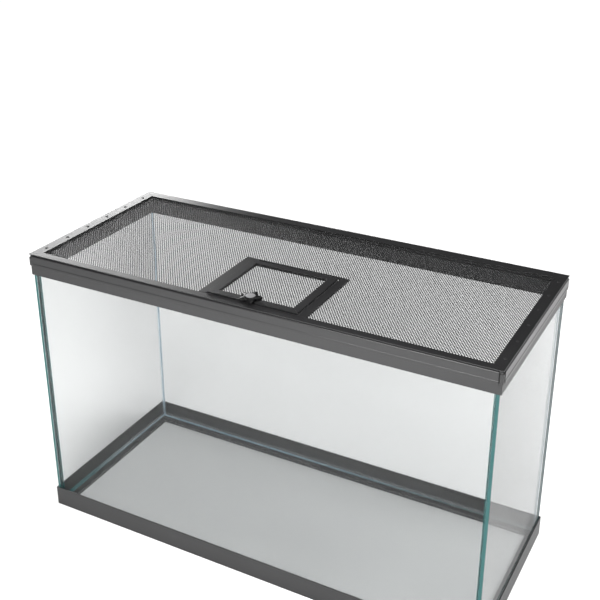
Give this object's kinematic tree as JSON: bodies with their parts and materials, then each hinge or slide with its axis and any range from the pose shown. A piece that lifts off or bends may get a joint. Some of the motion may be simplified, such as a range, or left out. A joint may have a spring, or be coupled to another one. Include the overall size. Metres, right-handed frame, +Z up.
{
  "type": "glass small-pet tank",
  "caption": "Rectangular glass tank in black frames with a lift-off mesh screen cover, a hinged feeding door in the cover and a turn latch.",
  "frame": {"origin": "middle of the tank's footprint, on the surface it stands on", "axes": "+X along the tank's length to the right, +Y towards the back, +Z up; the latch is at the front"},
  "size_m": [0.7724, 0.3224, 0.4882],
  "materials": {
    "frame_plastic": "semi-gloss moulded",
    "tank_glass": "clear float glass with green-blue cut edges",
    "clear_silicone": "clear, slightly milky",
    "cover_metal": "satin black coating",
    "screen_mesh": "black coated woven wire",
    "rivet_metal": "satin black",
    "knob_plastic": "semi-gloss",
    "washer_plastic": "matte",
    "latch_cap_chrome": "bright spun disc",
    "latch_steel": "zinc plated"
  },
  "bodies": {
    "tank": {"base_frame": "frame_plastic", "glass_back": "tank_glass", "glass_floor": "tank_glass", "glass_front": "tank_glass", "glass_left": "tank_glass", "glass_right": "tank_glass", "seam_back_left": "clear_silicone", "seam_back_right": "clear_silicone", "seam_floor_back": "clear_silicone", "seam_floor_front": "clear_silicone", "seam_floor_left": "clear_silicone", "seam_floor_right": "clear_silicone", "seam_front_left": "clear_silicone", "seam_front_right": "clear_silicone", "top_frame": "frame_plastic"},
    "cover": {"cover_angle_back": "cover_metal", "cover_angle_front": "cover_metal", "cover_angle_left": "cover_metal", "cover_angle_right": "cover_metal", "cover_bar_back": "cover_metal", "cover_bar_front": "cover_metal", "cover_bar_left": "cover_metal", "cover_bar_right": "cover_metal", "cover_mesh": "screen_mesh", "door_stop": "cover_metal", "hinge_knuckle_left": "cover_metal", "hinge_knuckle_right": "cover_metal", "hinge_pin": "latch_steel", "rivets_left": "rivet_metal", "rivets_right": "rivet_metal", "surround_back": "cover_metal", "surround_clamp_back": "cover_metal", "surround_clamp_left": "cover_metal", "surround_clamp_right": "cover_metal", "surround_left": "cover_metal", "surround_right": "cover_metal"},
    "door": {"door_bar_back": "cover_metal", "door_bar_front": "cover_metal", "door_bar_left": "cover_metal", "door_bar_right": "cover_metal", "door_barrel": "cover_metal", "door_clamp_back": "cover_metal", "door_clamp_front": "cover_metal", "door_clamp_left": "cover_metal", "door_clamp_right": "cover_metal", "door_mesh": "screen_mesh"},
    "latch": {"latch_cap": "latch_cap_chrome", "latch_knob": "knob_plastic", "latch_nut": "latch_steel", "latch_spindle": "latch_steel", "latch_tongue": "latch_steel", "latch_washer": "washer_plastic"}
  },
  "joints": [
    {"name": "cover_lift", "type": "slide", "parent": "tank", "child": "cover", "axis": [0, 0, 1], "range_m": [0, 0.3]},
    {"name": "door_hinge", "type": "hinge", "parent": "cover", "child": "door", "pos_m": [0.012, -0.0147, 0.4802], "axis": [-1, 0, 0], "range_deg": [0, 165]},
    {"name": "latch_turn", "type": "hinge", "parent": "door", "child": "latch", "pos_m": [0.007, -0.13905, 0.482], "axis": [0, 0, -1], "range_deg": [0, 90]}
  ]
}
